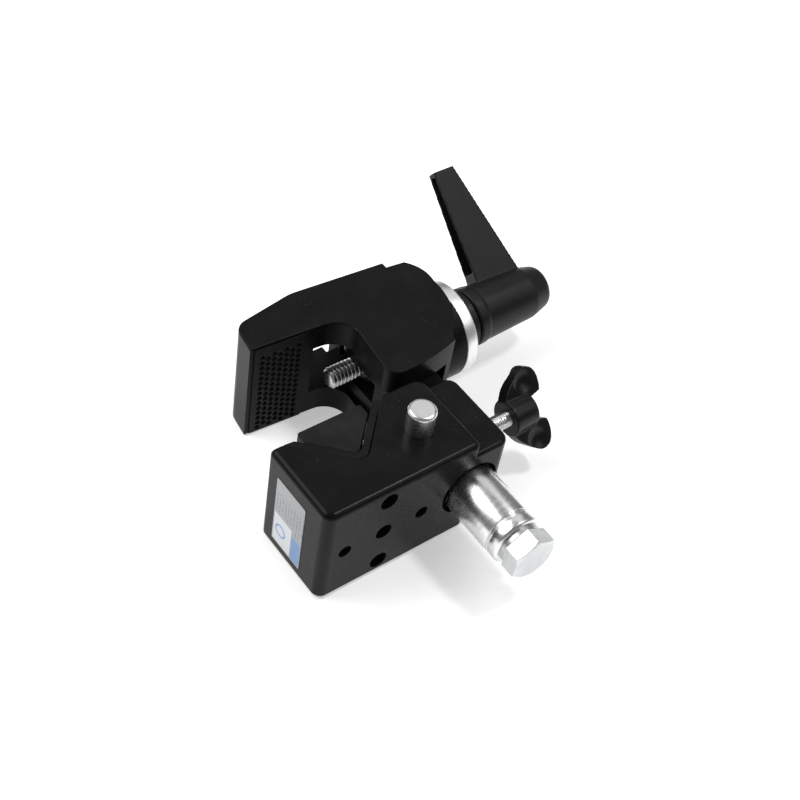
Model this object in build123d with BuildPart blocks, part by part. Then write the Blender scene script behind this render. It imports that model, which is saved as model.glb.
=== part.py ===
"""Super clamp: a die-cast body with a V channel and a spigot socket, and a forked hook that a
screw with an indexing lever pulls shut.

Frame: +X along the body towards the wing screw, +Y from the base face to the jaw, +Z through the
thickness, with z = 0 at mid-thickness. The origin is where the spigot's axis leaves the base face.
"""

import os
from math import atan2, cos, degrees, radians, sin, sqrt

from build123d import *

os.makedirs("parts", exist_ok=True)

# Driving dimensions, in millimetres and degrees
HALF = 18.0  # half the thickness of body and hook
EDGE_R = 1.8  # rounding of the body's long edges

BODY_LEFT = -49.0
BODY_RIGHT = 1.2
BODY_TOP = 28.3
BODY_CORNER_R = 3.0
SOCKET_RIGHT = 12.0
SOCKET_TOP = 27.0
SOCKET_HALF = 13.6

V_X = -29.2  # centre line of the V
V_APEX_Y = 10.7
LINER_T = 2.5
BED = 0.12  # the liner lies this far off the casting, the wedge this far off the liner
LINER_TOP = 27.4
LINER_HALF = 17.9
WEDGE_FACE_Y = 28.7
WEDGE_HALF_W = 10.4
WEDGE_HALF = 17.3

PIVOT_X = 5.0  # hinge of the hook, with the cross barrel straight above it
HINGE_Y = 39.0
SCREW_Y = 52.6
NECK_FRONT = -3.0
NECK_BACK = 12.0
NECK_TOP = 60.6
NECK_HALF = 9.0
HINGE_PIN_R = 3.0
BARREL_R = 5.5
SPINDLE_R = 3.175  # 1/4 in thread, 1.27 mm pitch
SPINDLE_TIP = -11.2
RUN = 0.05  # radial clearance of every running fit
SEAT = 0.01  # radial clearance of every fixed fit

NOSE_X = -34.4
PAD_LEFT = -33.0
PAD_RIGHT = -16.0
PAD_PROUD = 0.4
PAD_SEAT = 1.9
CHEEK_GAP = 9.25  # half the gap between the hook's cheeks
PLATE_STEP_X = 18.6
REAR_HALF = 17.6
BOSS_R = 14.45
BOSS_FACE = 28.9
BOSS_WALL = 23.0

WASHER_R = 14.6
WASHER_X = 29.06
WASHER_END = 33.1
COLLAR_X = 33.15
COLLAR_END = 38.6
COLLAR_R = 9.5
HUB_X = 39.1
HUB_END = 68.9
ARM_ANGLE = 36.0
ARM_TIP = 44.3
SPLINES = 12
SPLINE_ROOT = 5.6
SPLINE_TIP = 6.6
SPLINE_W = 1.5
SPLINE_TEETH_END = 42.4
SPLINE_END = 44.6
SHOULDER_X = 47.0
SHOULDER_END = 50.0
LEVER_LIFT = 4.0
SCREW_HEAD_X = 60.0

SPIGOT_R = 8.0
SPIGOT_OUT = 21.4
SPIGOT_IN = 22.0
LOCK_GROOVE_R = 6.4
UNDERCUT = 1.2
RING_GROOVE_Y = -17.6
BOLT_R = 4.0
HEX_AF = 13.0
HEX_H = 5.3
LOCK_WASHER_T = 1.7

PLUNGER_X = -10.6
PLUNGER_Y = 13.2
PLUNGER_R = 4.05
PLUNGER_OUT = 7.8
WAIST_R = 2.4
WAIST_LOW = 1.4
WAIST_HIGH = 10.8
PLUNGER_FOOT = -5.0
PLUNGER_FLOOR = -14.5
SPRING_WIRE = 0.7

WING_Y = 14.3
STUD_R = 2.45
STUD_TIP = 6.6
WING_X = 24.9
WING_HUB_END = 33.2
WING_HUB_R = 5.3
WING_ANGLE = 51.0
WING_T = 4.4
SCOOP_R = 6.5

HOLE_PITCH = 12.9
SIDE_PITCH = 12.6
LARGE_HOLE_R = 2.75
CENTRE_HOLE_R = 2.55
SMALL_HOLE_R = 2.05
HOLE_DEPTH = 8.0
SMALL_HOLE_DEPTH = 6.0


def jaw_y(x):
    """Height of the hook's inner edge above its pad, which leans a little out of square."""
    return 57.0 - 0.07 * (x + 3.3)


def v_line(offset):
    """Height of a V line at its centre, when the line lies offset inside the casting's V."""
    return V_APEX_Y + offset * sqrt(2)


# Lower body: block, socket and neck in one casting
with BuildPart() as lower_body:
    with BuildSketch(Plane.XY.offset(-HALF)):
        with BuildLine():
            Polyline(
                (BODY_LEFT, 0),
                (BODY_RIGHT, 0),
                (BODY_RIGHT, BODY_TOP),
                (V_X + BODY_TOP - V_APEX_Y, BODY_TOP),
                (V_X, V_APEX_Y),
                (V_X - BODY_TOP + V_APEX_Y + 1.1, BODY_TOP - 1.1),
                (BODY_LEFT, BODY_TOP - 1.1),
                close=True,
            )
        make_face()
        corners = vertices()
        fillet(corners.sort_by_distance((BODY_LEFT, 0))[0], BODY_CORNER_R)
        fillet(vertices().sort_by_distance((BODY_LEFT, BODY_TOP))[0], 1.4)
        fillet(vertices().sort_by_distance((BODY_RIGHT, BODY_TOP))[0], 3.6)
        fillet(vertices().sort_by_distance((BODY_RIGHT, 0))[0], 2.0)
        fillet(vertices().sort_by_distance((V_X, V_APEX_Y))[0], 3.6)
    extrude(amount=2 * HALF)
    rims = faces().filter_by(Axis.Z).edges()
    outer = rims.filter_by(lambda e: e.center().Y < 0.1 or e.center().X < BODY_LEFT + 1.5)
    shoulder = rims.filter_by(lambda e: e.center().X > PLUNGER_X - 2 and e.center().Y > 1)
    fillet(outer + shoulder, EDGE_R)
    with BuildSketch(Plane.XY.offset(-SOCKET_HALF)):
        with BuildLine():
            Polyline(
                (BODY_RIGHT - 9, 0),
                (SOCKET_RIGHT, 0),
                (SOCKET_RIGHT, SOCKET_TOP),
                (BODY_RIGHT - 9, SOCKET_TOP),
                close=True,
            )
        make_face()
        fillet(vertices().group_by(Axis.X)[-1], 3.4)
    extrude(amount=2 * SOCKET_HALF)
    socket_rims = faces().filter_by(Axis.Z).edges().filter_by(lambda e: abs(abs(e.center().Z) - SOCKET_HALF) < 0.1)
    fillet(socket_rims.filter_by(lambda e: e.center().X > BODY_RIGHT + 2), 1.3)
    with BuildSketch(Plane.XY.offset(-NECK_HALF)):
        with BuildLine():
            Polyline(
                (NECK_FRONT, SOCKET_TOP - 6),
                (NECK_BACK, SOCKET_TOP - 6),
                (NECK_BACK, NECK_TOP),
                (NECK_FRONT, NECK_TOP),
                close=True,
            )
        make_face()
        fillet(vertices().group_by(Axis.Y)[-1], 6.0)
    extrude(amount=2 * NECK_HALF)
    # slot between the neck's two ears, deep enough for the spindle's tilt
    with BuildSketch(Plane.XY.offset(-3.8)):
        with BuildLine():
            Polyline(
                (NECK_FRONT - 3, 39.0),
                (0, 43.4),
                (2.5, 45.5),
                (NECK_BACK + 2, 44.5),
                (NECK_BACK + 2, NECK_TOP + 2),
                (NECK_FRONT - 3, NECK_TOP + 2),
                close=True,
            )
        make_face()
    extrude(amount=7.6, mode=Mode.SUBTRACT)
    with BuildSketch(Plane.XY.offset(-HALF)):
        with Locations((PIVOT_X, HINGE_Y)):
            Circle(HINGE_PIN_R + RUN)
        with Locations((PIVOT_X, SCREW_Y)):
            Circle(BARREL_R + RUN)
    extrude(amount=2 * HALF, mode=Mode.SUBTRACT)
    # spigot socket, with a wider mouth
    with BuildSketch(Plane.XZ):
        Circle(SPIGOT_R)
    extrude(amount=-(SPIGOT_IN + 1), mode=Mode.SUBTRACT)
    with BuildSketch(Plane.XZ):
        Circle(SPIGOT_R + 1.25)
    extrude(amount=-3.0, mode=Mode.SUBTRACT)
    # locking screw's hole through the socket wall
    with BuildSketch(Plane.YZ.offset(SOCKET_RIGHT)):
        with Locations((WING_Y, 0)):
            Circle(STUD_R + RUN)
    extrude(amount=-(SOCKET_RIGHT - STUD_TIP + 2), mode=Mode.SUBTRACT)
    # plunger's bore, and the keeper's hole drilled from the V's flank
    with BuildSketch(Plane.XY.offset(HALF)):
        with Locations((PLUNGER_X, PLUNGER_Y)):
            Circle(PLUNGER_R + RUN)
    extrude(amount=-(HALF - PLUNGER_FLOOR), mode=Mode.SUBTRACT)
    with BuildSketch(Plane.XZ.offset(-30)):
        with Locations((PLUNGER_X - WAIST_R - 1.1, WAIST_LOW + 1.02)):
            Circle(1.0 + SEAT)
    extrude(amount=30 - 7, mode=Mode.SUBTRACT)
    # five holes in the base face
    with BuildSketch(Plane.XZ):
        with Locations((V_X, HOLE_PITCH), (V_X, -HOLE_PITCH)):
            Circle(LARGE_HOLE_R)
        with Locations((V_X, 0)):
            Circle(CENTRE_HOLE_R)
    extrude(amount=-HOLE_DEPTH, mode=Mode.SUBTRACT)
    with BuildSketch(Plane.XZ):
        with Locations((V_X - SIDE_PITCH, 0), (V_X + SIDE_PITCH, 0)):
            Circle(SMALL_HOLE_R)
    extrude(amount=-SMALL_HOLE_DEPTH, mode=Mode.SUBTRACT)
lower_body.part.label = "lower_body"

# Rubber strip of even thickness in the V
with BuildPart() as v_liner:
    with BuildSketch(Plane.XY.offset(-LINER_HALF)):
        with BuildLine():
            Polyline(
                (V_X, v_line(BED)),
                (V_X + LINER_TOP - v_line(BED), LINER_TOP),
                (V_X + LINER_TOP - v_line(LINER_T), LINER_TOP),
                (V_X, v_line(LINER_T)),
                (V_X - LINER_TOP + v_line(LINER_T) + 0.7, LINER_TOP - 0.7),
                (V_X - LINER_TOP + v_line(BED) + 0.7, LINER_TOP - 0.7),
                close=True,
            )
        make_face()
        fillet(vertices().sort_by_distance((V_X, v_line(BED)))[0], 3.6)
        fillet(vertices().sort_by_distance((V_X, v_line(LINER_T)))[0], 2.2)
    extrude(amount=2 * LINER_HALF)
    fillet(edges().filter_by(Axis.Z).group_by(Axis.Y)[-1], 0.5)
v_liner.part.label = "v_liner"

# Removable wedge with its flat side to the jaw
WEDGE_FLANK_Y = v_line(LINER_T + BED) + WEDGE_HALF_W
with BuildPart() as wedge_insert:
    with BuildSketch(Plane.XY.offset(-WEDGE_HALF)):
        with BuildLine():
            Polyline(
                (V_X, v_line(LINER_T + BED)),
                (V_X + WEDGE_HALF_W, WEDGE_FLANK_Y),
                (V_X + WEDGE_HALF_W, WEDGE_FACE_Y),
                (V_X - WEDGE_HALF_W, WEDGE_FACE_Y),
                (V_X - WEDGE_HALF_W, WEDGE_FLANK_Y),
                close=True,
            )
        make_face()
        fillet(vertices().group_by(Axis.Y)[0], 2.2)
        fillet(vertices().group_by(Axis.Y)[-1], 1.0)
    extrude(amount=2 * WEDGE_HALF)
    fillet(faces().filter_by(Axis.Z).edges(), 0.4)
wedge_insert.part.label = "wedge_insert"

# Plunger: button, waist that lets the spigot pass, and a foot on its spring
with BuildPart() as safety_pin:
    with BuildSketch(Plane.XZ.offset(-PLUNGER_Y)):
        with BuildLine():
            Polyline(
                (PLUNGER_X, HALF + PLUNGER_OUT),
                (PLUNGER_X + PLUNGER_R - 0.5, HALF + PLUNGER_OUT),
                (PLUNGER_X + PLUNGER_R, HALF + PLUNGER_OUT - 0.5),
                (PLUNGER_X + PLUNGER_R, WAIST_HIGH),
                (PLUNGER_X + WAIST_R, WAIST_HIGH - 1.0),
                (PLUNGER_X + WAIST_R, WAIST_LOW),
                (PLUNGER_X + PLUNGER_R, WAIST_LOW),
                (PLUNGER_X + PLUNGER_R, PLUNGER_FOOT),
                (PLUNGER_X + 1.6, PLUNGER_FOOT),
                (PLUNGER_X + 1.6, PLUNGER_FOOT - 2.6),
                (PLUNGER_X, PLUNGER_FOOT - 2.6),
                close=True,
            )
        make_face()
    revolve(axis=Axis((PLUNGER_X, PLUNGER_Y, 0), (0, 0, 1)))
safety_pin.part.label = "safety_pin"

SPRING_R = 2.9
SPRING_H = PLUNGER_FOOT - PLUNGER_FLOOR - SPRING_WIRE - 0.1
with BuildPart() as safety_pin_spring:
    with BuildLine():
        coil = Helix(
            pitch=SPRING_H / 4.5,
            height=SPRING_H,
            radius=SPRING_R,
            center=(PLUNGER_X, PLUNGER_Y, PLUNGER_FLOOR + SPRING_WIRE / 2 + 0.05),
        )
    with BuildSketch(Plane(origin=coil @ 0, z_dir=coil % 0)):
        Circle(SPRING_WIRE / 2)
    sweep(path=coil, is_frenet=True)
safety_pin_spring.part.label = "safety_pin_spring"

with BuildPart() as safety_pin_keeper:
    with BuildSketch(Plane.XZ.offset(-22)):
        with Locations((PLUNGER_X - WAIST_R - 1.1, WAIST_LOW + 1.02)):
            Circle(1.0)
    extrude(amount=14.5)
safety_pin_keeper.part.label = "safety_pin_keeper"

# Locking screw of the socket
with BuildPart() as wing_screw_stud:
    with BuildSketch(Plane.YZ.offset(STUD_TIP)):
        with Locations((WING_Y, 0)):
            Circle(STUD_R)
    extrude(amount=30.5 - STUD_TIP)
    chamfer(faces().sort_by(Axis.X)[0].edges(), 0.5)
wing_screw_stud.part.label = "wing_screw_stud"

WING_UP = (cos(radians(WING_ANGLE)), sin(radians(WING_ANGLE)))
wing_plane = Plane(
    origin=(0, WING_Y, 0),
    x_dir=(1, 0, 0),
    z_dir=(0, WING_UP[1], -WING_UP[0]),
)
with BuildPart() as wing_screw_head:
    with BuildSketch(Plane.YZ.offset(WING_X)):
        with Locations((WING_Y, 0)):
            Circle(WING_HUB_R + 0.4)
    extrude(amount=WING_HUB_END - WING_X, taper=3)
    with BuildSketch(wing_plane.offset(-WING_T / 2)):
        with BuildLine():
            wing_top = Spline(
                (WING_X + 0.2, 5.4),
                (27.4, 8.6),
                (30.4, 11.0),
                (33.6, 12.7),
                (36.2, 11.8),
                (37.5, 9.4),
                (37.3, 4.4),
            )
            Line(wing_top @ 1, (33.0, 3.2))
            Line((33.0, 3.2), (33.0, -3.2))
            Line((33.0, -3.2), (37.3, -4.4))
            wing_low = Spline(
                (37.3, -4.4),
                (37.5, -9.4),
                (36.2, -11.8),
                (33.6, -12.7),
                (30.4, -11.0),
                (27.4, -8.6),
                (WING_X + 0.2, -5.4),
            )
            Line(wing_low @ 1, wing_top @ 0)
        make_face()
    extrude(amount=WING_T)
    # a shallow scoop in both faces of both wings, for thumb and finger
    for reach in (-8.9, 8.9):
        for side in (-1, 1):
            scoop = wing_plane.from_local_coords((32.2, reach, side * (WING_T / 2 + SCOOP_R - 1.0)))
            with Locations(scoop):
                Sphere(SCOOP_R, mode=Mode.SUBTRACT)
    with BuildSketch(Plane.YZ.offset(WING_X)):
        with Locations((WING_Y, 0)):
            Circle(STUD_R + RUN)
    extrude(amount=30.6 - WING_X, mode=Mode.SUBTRACT)
wing_screw_head.part.label = "wing_screw_head"

# Spigot with a locking groove inside the socket and a ring groove near its free end
with BuildPart() as spigot:
    with BuildSketch(Plane.XY):
        with BuildLine():
            Polyline(
                (0, -SPIGOT_OUT),
                (SPIGOT_R - 0.6, -SPIGOT_OUT),
                (SPIGOT_R, -SPIGOT_OUT + 0.6),
                (SPIGOT_R, RING_GROOVE_Y - 0.35),
                (SPIGOT_R - 0.5, RING_GROOVE_Y - 0.35),
                (SPIGOT_R - 0.5, RING_GROOVE_Y + 0.35),
                (SPIGOT_R, RING_GROOVE_Y + 0.35),
                (SPIGOT_R, 0),
                (SPIGOT_R - 0.5, 0),
                (SPIGOT_R - 0.5, UNDERCUT),
                (SPIGOT_R - RUN, UNDERCUT),
                (SPIGOT_R - RUN, PLUNGER_Y - PLUNGER_R - 0.15),
                (LOCK_GROOVE_R, PLUNGER_Y - PLUNGER_R - 0.15),
                (LOCK_GROOVE_R, PLUNGER_Y + PLUNGER_R + 0.15),
                (SPIGOT_R - RUN, PLUNGER_Y + PLUNGER_R + 0.15),
                (SPIGOT_R - RUN, SPIGOT_IN - 1),
                (SPIGOT_R - 1, SPIGOT_IN),
                (0, SPIGOT_IN),
                close=True,
            )
        make_face()
    revolve(axis=Axis.Y)
    with BuildSketch(Plane.XZ.offset(SPIGOT_OUT)):
        Circle(BOLT_R)
    extrude(amount=-16, mode=Mode.SUBTRACT)
spigot.part.label = "spigot"

with BuildPart() as spigot_lock_washer:
    with BuildSketch(Plane.XZ.offset(SPIGOT_OUT)):
        Circle(6.5)
        Circle(BOLT_R + 0.1, mode=Mode.SUBTRACT)
        with Locations((6, 0)):
            Rectangle(6, 0.9, mode=Mode.SUBTRACT)
    extrude(amount=LOCK_WASHER_T)
spigot_lock_washer.part.label = "spigot_lock_washer"

HEAD_Y = SPIGOT_OUT + LOCK_WASHER_T
with BuildPart() as spigot_bolt:
    with BuildSketch(Plane.XZ.offset(HEAD_Y)):
        RegularPolygon(HEX_AF / 2, 6, major_radius=False, rotation=30)
    extrude(amount=HEX_H)
    with BuildSketch(Plane.XY):
        with BuildLine():
            Polyline(
                (HEX_AF / 2 - 0.3, -HEAD_Y - HEX_H),
                (HEX_AF, -HEAD_Y - HEX_H + 3.8),
                (HEX_AF, -HEAD_Y - HEX_H - 1),
                (HEX_AF / 2 - 0.3, -HEAD_Y - HEX_H - 1),
                close=True,
            )
        make_face()
    revolve(axis=Axis.Y, mode=Mode.SUBTRACT)
    with BuildSketch(Plane.XZ.offset(HEAD_Y)):
        Circle(BOLT_R)
    extrude(amount=-14 - LOCK_WASHER_T)
spigot_bolt.part.label = "spigot_bolt"

# Hook: two cheeks joined at the nose, along the back and at the rear boss
with BuildPart() as hook_jaw:
    with BuildSketch(Plane.XY.offset(-HALF)):
        with BuildLine():
            Polyline(
                (-1.5, 31.8),
                (-6.1, 31.8),
                (-3.3, jaw_y(-3.3)),
                (NOSE_X, jaw_y(NOSE_X)),
                (-33.1, 69.3),
                (-12.5, 72.7),
                (PLATE_STEP_X, 70.2),
                (PLATE_STEP_X, 34.6),
            )
            TangentArc((-1.5, 31.8), (PLATE_STEP_X, 34.6), tangent=(1, 0))
        make_face()
        fillet(vertices().sort_by_distance((-6.1, 31.8))[0], 3.9)
        fillet(vertices().sort_by_distance((-3.3, jaw_y(-3.3)))[0], 7.5)
        fillet(vertices().sort_by_distance((-33.1, 69.3))[0], 5.0)
        fillet(vertices().sort_by_distance((-12.5, 72.7))[0], 12.0)
    extrude(amount=2 * HALF)
    fillet(faces().filter_by(Axis.Z).edges(), 0.5)
    with BuildSketch(Plane.XY.offset(-REAR_HALF)):
        with BuildLine():
            Line((PLATE_STEP_X - 2, 68.5), (24.6, 67.6))
            ThreePointArc((24.6, 67.6), (27.4, 63.2), (27.8, 57.0))
            ThreePointArc((27.8, 57.0), (24.9, 43.8), (PLATE_STEP_X, 36.2))
            Line((PLATE_STEP_X, 36.2), (PLATE_STEP_X - 2, 34.6))
            Line((PLATE_STEP_X - 2, 34.6), (PLATE_STEP_X - 2, 68.5))
        make_face()
    extrude(amount=2 * REAR_HALF)
    # round boss that the thick washer bears on
    with BuildSketch(Plane.YZ.offset(BOSS_WALL - 3)):
        with Locations((SCREW_Y, 0)):
            Circle(BOSS_R)
    extrude(amount=BOSS_FACE - BOSS_WALL + 3)
    # room between the cheeks for the neck, open at the back near the throat
    with BuildSketch(Plane.XY.offset(-CHEEK_GAP)):
        with BuildLine():
            Polyline(
                (-13.6, 28),
                (16.4, 28),
                (16.4, 40),
                (BOSS_WALL, 45),
                (BOSS_WALL, 66),
                (-13.6, 66),
                close=True,
            )
        make_face()
        with Locations((-13.6, 50)):
            Rectangle(3.5 + 13.6, 30, align=(Align.MIN, Align.MIN))
    extrude(amount=2 * CHEEK_GAP, mode=Mode.SUBTRACT)
    # the gap flares where it leaves through the back
    for left, right, inner_y, deep in ((-13.6, 3.5, 70.9, 3.6), (0.4, 3.5, 68.5, 8.0)):
        for side in (-1, 1):
            with BuildSketch(Plane.YZ.offset(left)):
                with BuildLine():
                    Polyline(
                        (inner_y, side * (CHEEK_GAP - 0.2)),
                        (inner_y, side * CHEEK_GAP),
                        (inner_y + deep * 0.66, side * (CHEEK_GAP + deep)),
                        (80, side * (CHEEK_GAP + deep)),
                        (80, side * (CHEEK_GAP - 0.2)),
                        close=True,
                    )
                make_face()
            extrude(amount=right - left, mode=Mode.SUBTRACT)
    # slot for the spindle through the boss
    with BuildSketch(Plane.YZ.offset(BOSS_WALL - 4)):
        with Locations((SCREW_Y - 1.2, 0)):
            SlotCenterToCenter(3.2, 2 * (SPINDLE_R + 0.45))
    extrude(amount=BOSS_FACE - BOSS_WALL + 6, mode=Mode.SUBTRACT)
    # blind hole for the hinge pin, from the underside
    with BuildSketch(Plane.XY.offset(-HALF)):
        with Locations((PIVOT_X, HINGE_Y)):
            Circle(HINGE_PIN_R)
    extrude(amount=HALF + 14.5, mode=Mode.SUBTRACT)
    # recess for the rubber pad
    with BuildSketch(Plane.XY.offset(-HALF)):
        with BuildLine():
            Polyline(
                (PAD_LEFT, jaw_y(PAD_LEFT) - 2),
                (PAD_RIGHT, jaw_y(PAD_RIGHT) - 2),
                (PAD_RIGHT, jaw_y(PAD_RIGHT) + PAD_SEAT),
                (PAD_LEFT, jaw_y(PAD_LEFT) + PAD_SEAT),
                close=True,
            )
        make_face()
    extrude(amount=2 * HALF - 0.8, mode=Mode.SUBTRACT)
hook_jaw.part.label = "hook_jaw"

with BuildPart() as hook_pad:
    with BuildSketch(Plane.XY.offset(-HALF + 0.5)):
        with BuildLine():
            Polyline(
                (PAD_LEFT, jaw_y(PAD_LEFT) - PAD_PROUD),
                (PAD_RIGHT, jaw_y(PAD_RIGHT) - PAD_PROUD),
                (PAD_RIGHT, jaw_y(PAD_RIGHT) + PAD_SEAT),
                (PAD_LEFT, jaw_y(PAD_LEFT) + PAD_SEAT),
                close=True,
            )
        make_face()
    extrude(amount=2 * HALF - 1.3)
hook_pad.part.label = "hook_pad"

with BuildPart() as hinge_pin:
    with BuildSketch(Plane.XY.offset(-HALF + 0.6)):
        with Locations((PIVOT_X, HINGE_Y)):
            Circle(HINGE_PIN_R)
    extrude(amount=HALF - 0.6 + 14.4)
    chamfer(edges().filter_by(GeomType.CIRCLE), 0.4)
hinge_pin.part.label = "hinge_pin"

# Cross barrel in the neck, threaded for the spindle
with BuildPart() as trunnion_nut:
    with BuildSketch(Plane.XY.offset(-NECK_HALF + 0.2)):
        with Locations((PIVOT_X, SCREW_Y)):
            Circle(BARREL_R)
    extrude(amount=2 * NECK_HALF - 0.4)
    with BuildSketch(Plane.YZ.offset(PIVOT_X - BARREL_R - 1)):
        with Locations((SCREW_Y, 0)):
            Circle(SPINDLE_R + RUN)
    extrude(amount=2 * BARREL_R + 2, mode=Mode.SUBTRACT)
trunnion_nut.part.label = "trunnion_nut"

with BuildPart() as clamp_spindle:
    with BuildSketch(Plane.YZ.offset(SPINDLE_TIP)):
        with Locations((SCREW_Y, 0)):
            Circle(SPINDLE_R)
    extrude(amount=SPLINE_END + 1.4 - SPINDLE_TIP)
    chamfer(faces().sort_by(Axis.X)[0].edges(), 0.6)
    with BuildSketch(Plane.YZ.offset(SPLINE_END + 1.4)):
        with Locations((SCREW_Y, 0)):
            Circle(2.0 + SEAT)
    extrude(amount=-9.0, mode=Mode.SUBTRACT)
    with BuildSketch(Plane.XY):
        with Locations(((COLLAR_X + COLLAR_END) / 2, SCREW_Y)):
            Circle(1.25)
    extrude(amount=COLLAR_R, both=True, mode=Mode.SUBTRACT)
clamp_spindle.part.label = "clamp_spindle"

with BuildPart() as thrust_washer:
    with BuildSketch(Plane.YZ.offset(WASHER_X)):
        with Locations((SCREW_Y, 0)):
            Circle(WASHER_R)
            Circle(SPINDLE_R + RUN, mode=Mode.SUBTRACT)
    extrude(amount=WASHER_END - WASHER_X)
    chamfer(edges().filter_by(GeomType.CIRCLE).sort_by(SortBy.RADIUS)[-2:], 0.35)
thrust_washer.part.label = "thrust_washer"

# Splined collar that the lever indexes on
with BuildPart() as handle_collar:
    with BuildSketch(Plane.YZ.offset(COLLAR_X)):
        with Locations((SCREW_Y, 0)):
            Circle(COLLAR_R)
    extrude(amount=COLLAR_END - COLLAR_X)
    chamfer(faces().sort_by(Axis.X)[-1].edges(), 0.5)
    with BuildSketch(Plane.YZ.offset(COLLAR_END)):
        with Locations((SCREW_Y, 0)):
            Circle(SPLINE_ROOT)
            with PolarLocations((SPLINE_ROOT + SPLINE_TIP) / 2 - 0.2, SPLINES):
                Rectangle(SPLINE_TIP - SPLINE_ROOT + 0.4, SPLINE_W)
    extrude(amount=SPLINE_TEETH_END - COLLAR_END)
    with BuildSketch(Plane.YZ.offset(SPLINE_TEETH_END)):
        with Locations((SCREW_Y, 0)):
            Circle(SPLINE_ROOT)
    extrude(amount=SPLINE_END - SPLINE_TEETH_END)
    with BuildSketch(Plane.YZ.offset(COLLAR_X)):
        with Locations((SCREW_Y, 0)):
            Circle(SPINDLE_R + SEAT)
    extrude(amount=SPLINE_END - COLLAR_X, mode=Mode.SUBTRACT)
    with BuildSketch(Plane.XY):
        with Locations(((COLLAR_X + COLLAR_END) / 2, SCREW_Y)):
            Circle(1.25)
    extrude(amount=COLLAR_R, both=True, mode=Mode.SUBTRACT)
handle_collar.part.label = "handle_collar"

with BuildPart() as collar_dowel:
    with BuildSketch(Plane.XY):
        with Locations(((COLLAR_X + COLLAR_END) / 2, SCREW_Y)):
            Circle(1.25)
    extrude(amount=COLLAR_R - 0.6, both=True)
collar_dowel.part.label = "collar_dowel"

# Lever: tapered hub, internal splines, and an arm that narrows to its tip
arm_dir = (0, cos(radians(ARM_ANGLE)), sin(radians(ARM_ANGLE)))


def arm_plane(reach):
    """Plane square to the arm, reach millimetres out from the spindle's axis."""
    origin = (0, SCREW_Y + reach * arm_dir[1], reach * arm_dir[2])
    return Plane(origin=origin, x_dir=(1, 0, 0), z_dir=arm_dir)


with BuildPart() as lever:
    with BuildSketch(Plane.XY):
        with BuildLine():
            Polyline(
                (HUB_X, SCREW_Y),
                (HUB_X, SCREW_Y + 9.0),
                (HUB_X + 0.5, SCREW_Y + 9.4),
                (HUB_X + 3.4, SCREW_Y + 9.25),
                (HUB_X + 3.8, SCREW_Y + 8.95),
                (HUB_END - 6.9, SCREW_Y + 8.3),
                (HUB_END - 1.4, SCREW_Y + 6.9),
                (HUB_END - 0.4, SCREW_Y + 6.4),
                (HUB_END, SCREW_Y + 5.7),
                (HUB_END, SCREW_Y),
                close=True,
            )
        make_face()
    revolve(axis=Axis((0, SCREW_Y, 0), (1, 0, 0)))
    with BuildSketch(arm_plane(3)):
        with Locations((55.2, 0)):
            Rectangle(17.2, 6.6)
    with BuildSketch(arm_plane(ARM_TIP)):
        with Locations((52.9, 0)):
            Rectangle(7.5, 3.6)
    loft()
    with BuildSketch(arm_plane(11.6)):
        with Locations((47.0, 0)):
            Rectangle(7.0, 4.9)
    with BuildSketch(arm_plane(ARM_TIP - 1.5)):
        with Locations((48.9, 0)):
            Rectangle(3.6, 2.4)
    loft(mode=Mode.SUBTRACT)
    with BuildSketch(Plane.YZ.offset(HUB_X)):
        with Locations((SCREW_Y, 0)):
            Circle(SPLINE_ROOT + 0.1)
            with PolarLocations((SPLINE_ROOT + SPLINE_TIP) / 2, SPLINES):
                Rectangle(SPLINE_TIP - SPLINE_ROOT + 0.3, SPLINE_W + 0.2)
    extrude(amount=SHOULDER_X - HUB_X, mode=Mode.SUBTRACT)
    with BuildSketch(Plane.YZ.offset(SHOULDER_X)):
        with Locations((SCREW_Y, 0)):
            Circle(2.3)
    extrude(amount=SHOULDER_END - SHOULDER_X, mode=Mode.SUBTRACT)
    with BuildSketch(Plane.YZ.offset(SHOULDER_END)):
        with Locations((SCREW_Y, 0)):
            Circle(4.8)
    extrude(amount=HUB_END - SHOULDER_END, mode=Mode.SUBTRACT)
lever.part.label = "lever"

# Shoulder screw that holds the lever, drawn with its spring at the pulled length
with BuildPart() as lever_screw:
    with BuildSketch(Plane.YZ.offset(SPLINE_END - 6.6)):
        with Locations((SCREW_Y, 0)):
            Circle(2.0)
    extrude(amount=SCREW_HEAD_X - SPLINE_END + 6.6)
    with BuildSketch(Plane.YZ.offset(SCREW_HEAD_X)):
        with Locations((SCREW_Y, 0)):
            Circle(4.3)
    extrude(amount=3.0)
    chamfer(faces().sort_by(Axis.X)[-1].edges(), 0.4)
    with BuildSketch(Plane.YZ.offset(SCREW_HEAD_X + 3.0)):
        with Locations((SCREW_Y, 0)):
            RegularPolygon(1.5, 6, major_radius=False)
    extrude(amount=-1.8, mode=Mode.SUBTRACT)
lever_screw.part.label = "lever_screw"

LEVER_SPRING_H = SCREW_HEAD_X - SHOULDER_END - LEVER_LIFT - SPRING_WIRE - 0.3
with BuildPart() as lever_spring:
    with BuildLine():
        lever_coil = Helix(
            pitch=LEVER_SPRING_H / 4.5,
            height=LEVER_SPRING_H,
            radius=3.3,
            center=(SHOULDER_END + LEVER_LIFT + SPRING_WIRE / 2 + 0.15, SCREW_Y, 0),
            direction=(1, 0, 0),
        )
    with BuildSketch(Plane(origin=lever_coil @ 0, z_dir=lever_coil % 0)):
        Circle(SPRING_WIRE / 2)
    sweep(path=lever_coil, is_frenet=True)
lever_spring.part.label = "lever_spring"

# Sticker on the end face
with BuildPart() as rating_label:
    with BuildSketch(Plane.YZ.offset(BODY_LEFT)):
        with Locations((15.7, -1.0)):
            RectangleRounded(13.0, 25.5, 0.5)
    extrude(amount=-0.15)
rating_label.part.label = "rating_label"

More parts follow.
